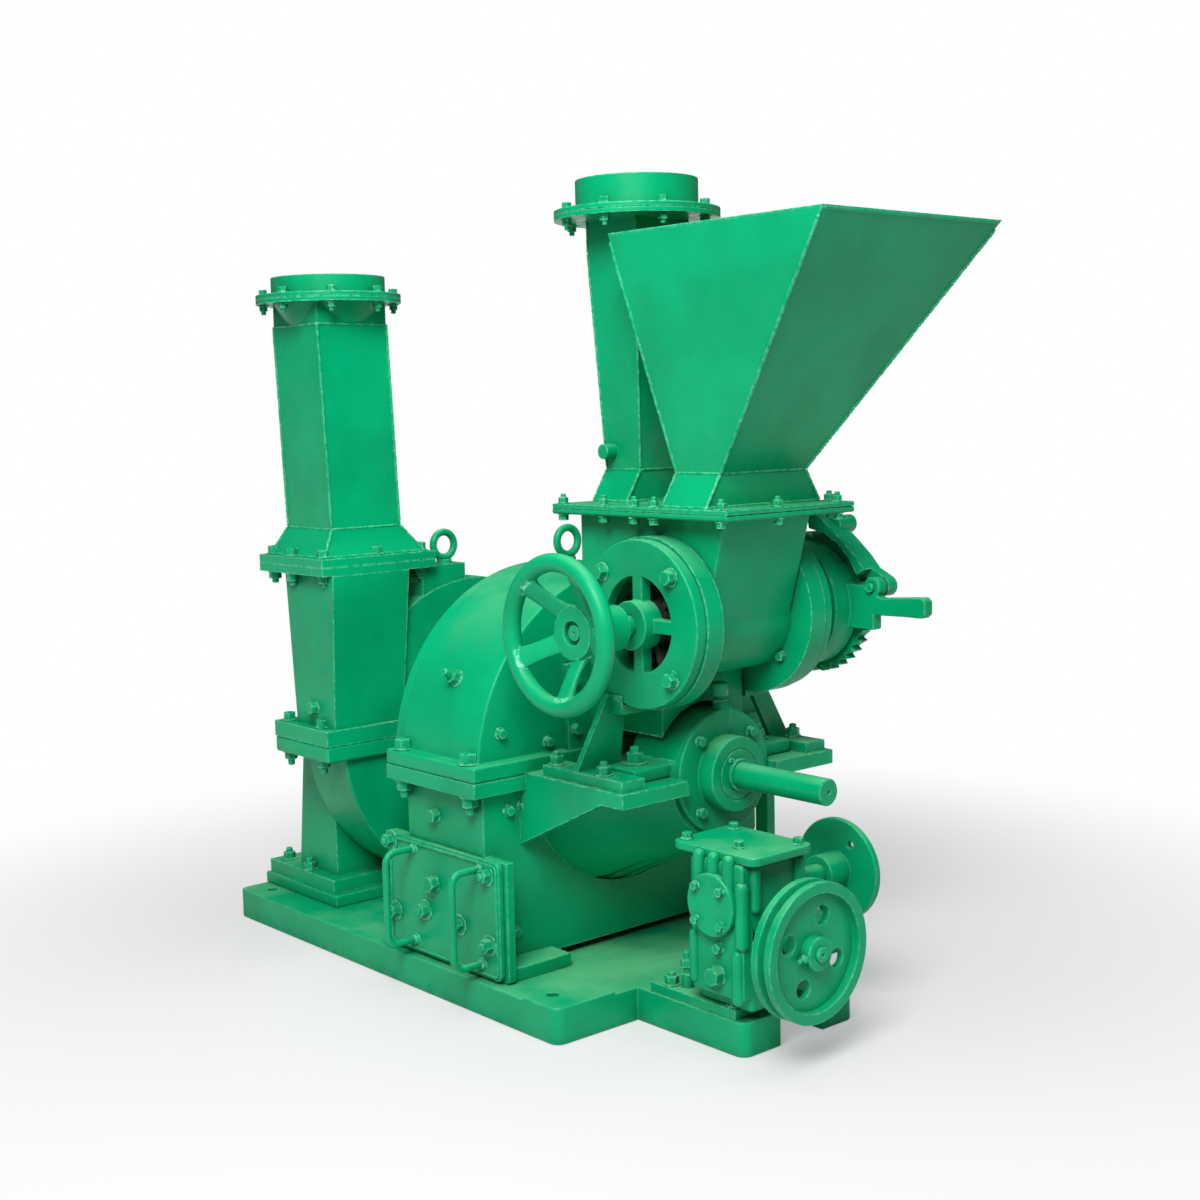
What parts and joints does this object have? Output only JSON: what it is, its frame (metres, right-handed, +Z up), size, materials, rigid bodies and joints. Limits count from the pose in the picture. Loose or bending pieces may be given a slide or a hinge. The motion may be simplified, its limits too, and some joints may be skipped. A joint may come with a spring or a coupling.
{
  "type": "impact pulveriser",
  "caption": "Industrial impact pulveriser on a cast bed, with a built-in blower, roller feeder and hopper, a vent duct, an outlet duct and a small worm gearbox that drives the feed ratchet.",
  "frame": {"origin": "on the floor under the bed, below the main shaft and in the mill's middle plane", "axes": "+X along the main shaft to its free drive end, +Y to the rear, away from the clean-out door, +Z up"},
  "size_m": [1.562, 0.866, 1.59],
  "materials": {
    "cast_enamel": "glossy green machine enamel on cast iron",
    "sheet_enamel": "glossy green machine enamel on welded sheet steel",
    "steel_enamel": "green machine enamel over turned steel"
  },
  "bodies": {
    "frame": {"base_plate": "cast_enamel", "mill_lower_casing": "cast_enamel", "mill_upper_cover": "cast_enamel", "blower_throat": "cast_enamel", "cleanout_door": "steel_enamel", "door_handle_left": "steel_enamel", "door_handle_right": "steel_enamel", "bearing_bracket": "cast_enamel", "bearing_housing": "cast_enamel", "bearing_cover": "cast_enamel", "grease_cup": "steel_enamel", "blower_lower_casing": "cast_enamel", "blower_upper_casing": "cast_enamel", "outlet_duct": "sheet_enamel", "outlet_collar": "sheet_enamel", "blower_eyebolt": "steel_enamel", "mill_eyebolt": "steel_enamel", "pedestal_riser": "steel_enamel", "blower_pedestal": "cast_enamel", "outboard_cover": "cast_enamel", "feeder_barrel": "cast_enamel", "feeder_cover_near": "cast_enamel", "feeder_cover_far": "cast_enamel", "hopper_foot": "sheet_enamel", "hopper": "sheet_enamel", "vent_duct": "sheet_enamel", "vent_collar": "sheet_enamel", "feed_chute": "sheet_enamel", "feeder_stand_near": "steel_enamel", "feeder_stand_far": "steel_enamel", "gearbox_foot": "steel_enamel", "gearbox_case": "cast_enamel", "gearbox_top_plate": "cast_enamel", "gearbox_side_cover": "cast_enamel"},
    "rotor": {"main_shaft": "steel_enamel"},
    "feeder_rotor": {"feeder_shaft": "steel_enamel", "feed_roller": "steel_enamel", "handwheel": "cast_enamel", "ratchet_wheel": "cast_enamel"},
    "ratchet_arm": {"ratchet_lever": "cast_enamel"},
    "pawl_arm": {"pawl": "steel_enamel"},
    "worm": {"worm_shaft": "steel_enamel", "drive_pulley": "cast_enamel"},
    "crank": {"output_shaft": "steel_enamel", "crank_disc": "cast_enamel"}
  },
  "joints": [
    {"name": "main_shaft_spin", "type": "hinge", "parent": "frame", "child": "rotor", "pos_m": [0.5, 0, 0.45], "axis": [1, 0, 0], "continuous": true},
    {"name": "feeder_spin", "type": "hinge", "parent": "frame", "child": "feeder_rotor", "pos_m": [0.362, 0, 0.748], "axis": [0, 1, 0], "continuous": true},
    {"name": "ratchet_lever_swing", "type": "hinge", "parent": "frame", "child": "ratchet_arm", "pos_m": [0.362, 0.282, 0.748], "axis": [0, 1, 0], "range_deg": [-16, 16]},
    {"name": "pawl_lift", "type": "hinge", "parent": "ratchet_arm", "child": "pawl_arm", "pos_m": [0.54, 0.313, 0.79], "axis": [0, 1, 0], "range_deg": [0, 25]},
    {"name": "pulley_spin", "type": "hinge", "parent": "frame", "child": "worm", "pos_m": [0.74, -0.135, 0.204], "axis": [1, 0, 0], "continuous": true},
    {"name": "crank_spin", "type": "hinge", "parent": "frame", "child": "crank", "pos_m": [0.588, 0.115, 0.273], "axis": [0, 1, 0], "continuous": true}
  ],
  "couplings": [
    {"joint": "crank_spin", "follows": "pulley_spin", "ratio": 0.033333}
  ]
}
